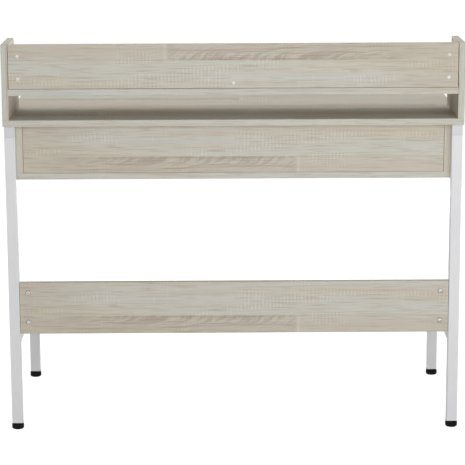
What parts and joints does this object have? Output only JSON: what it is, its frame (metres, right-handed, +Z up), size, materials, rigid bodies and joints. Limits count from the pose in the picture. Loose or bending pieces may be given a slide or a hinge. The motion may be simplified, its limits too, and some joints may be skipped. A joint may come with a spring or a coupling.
{
  "type": "student desk with hutch",
  "caption": "Student desk of wood-look boards on white tube side frames, with a low shelf hutch, drawers under the top, a lower rear panel and levelling feet.",
  "frame": {"origin": "on the floor under the middle of the desk's bounding box", "axes": "+Z up, +X to the right of the person who sits at the desk, +Y from that person towards the rear edge and the hutch back"},
  "size_m": [1.075, 0.5026, 0.9265],
  "materials": {
    "oak_board": "matt printed wood-grain board, pale greyed oak",
    "white_steel": "white powder coat, satin",
    "white_plastic": "moulded white plastic",
    "black_plastic": "moulded black plastic, fine grain",
    "white_screw": "white lacquered screw head",
    "zinc_steel": "bright zinc plate",
    "zinc_cast": "die-cast zinc, as cast",
    "beech": "plain beech, grooved dowel",
    "floor_board": "white faced hardboard"
  },
  "bodies": {
    "desk": {"box_back": "oak_board", "box_bottom": "oak_board", "box_bottom_screws": "zinc_steel", "box_divider": "oak_board", "box_side_left": "oak_board", "box_side_right": "oak_board", "cam_bolts": "zinc_steel", "cam_locks": "zinc_cast", "desktop": "oak_board", "desktop_sleeves": "zinc_steel", "front_leg_left": "white_steel", "front_leg_right": "white_steel", "hutch_back": "oak_board", "hutch_back_screws": "white_screw", "hutch_bracket_screws": "zinc_steel", "hutch_end_brackets": "white_steel", "hutch_shelf": "oak_board", "hutch_shelf_bracket": "white_steel", "hutch_side_left": "oak_board", "hutch_side_right": "oak_board", "hutch_side_screws": "zinc_steel", "leg_inserts": "black_plastic", "lower_panel": "oak_board", "panel_bolts": "zinc_steel", "panel_nuts": "zinc_steel", "panel_tab_left": "white_steel", "panel_tab_right": "white_steel", "rail_bolts": "zinc_steel", "rail_caps": "white_plastic", "rear_leg_left": "white_steel", "rear_leg_right": "white_steel", "runner_screws": "zinc_steel", "runner_strips": "white_plastic", "side_rail_left": "white_steel", "side_rail_right": "white_steel", "top_rail_left": "white_steel", "top_rail_right": "white_steel", "wood_dowels": "beech"},
    "drawer_left": {"drawer_back_left": "oak_board", "drawer_floor_left": "floor_board", "drawer_front_left": "oak_board", "drawer_handle_left": "white_steel", "drawer_handle_screws_left": "zinc_steel", "drawer_inner_side_left": "oak_board", "drawer_outer_side_left": "oak_board", "drawer_pegs_left": "beech", "drawer_screws_left": "zinc_steel"},
    "drawer_right": {"drawer_back_right": "oak_board", "drawer_floor_right": "floor_board", "drawer_front_right": "oak_board", "drawer_handle_right": "white_steel", "drawer_handle_screws_right": "zinc_steel", "drawer_inner_side_right": "oak_board", "drawer_outer_side_right": "oak_board", "drawer_pegs_right": "beech", "drawer_screws_right": "zinc_steel"},
    "foot_rear_left": {"foot_rear_left": "black_plastic"},
    "foot_rear_right": {"foot_rear_right": "black_plastic"},
    "foot_front_left": {"foot_front_left": "black_plastic"},
    "foot_front_right": {"foot_front_right": "black_plastic"}
  },
  "joints": [
    {"name": "drawer_left_slide", "type": "slide", "parent": "desk", "child": "drawer_left", "axis": [0, -1, 0], "range_m": [0, 0.3]},
    {"name": "drawer_right_slide", "type": "slide", "parent": "desk", "child": "drawer_right", "axis": [0, -1, 0], "range_m": [0, 0.3]},
    {"name": "foot_rear_left_screw", "type": "slide", "parent": "desk", "child": "foot_rear_left", "axis": [0, 0, -1], "range_m": [0, 0.01]},
    {"name": "foot_rear_right_screw", "type": "slide", "parent": "desk", "child": "foot_rear_right", "axis": [0, 0, -1], "range_m": [0, 0.01]},
    {"name": "foot_front_left_screw", "type": "slide", "parent": "desk", "child": "foot_front_left", "axis": [0, 0, -1], "range_m": [0, 0.01]},
    {"name": "foot_front_right_screw", "type": "slide", "parent": "desk", "child": "foot_front_right", "axis": [0, 0, -1], "range_m": [0, 0.01]}
  ]
}
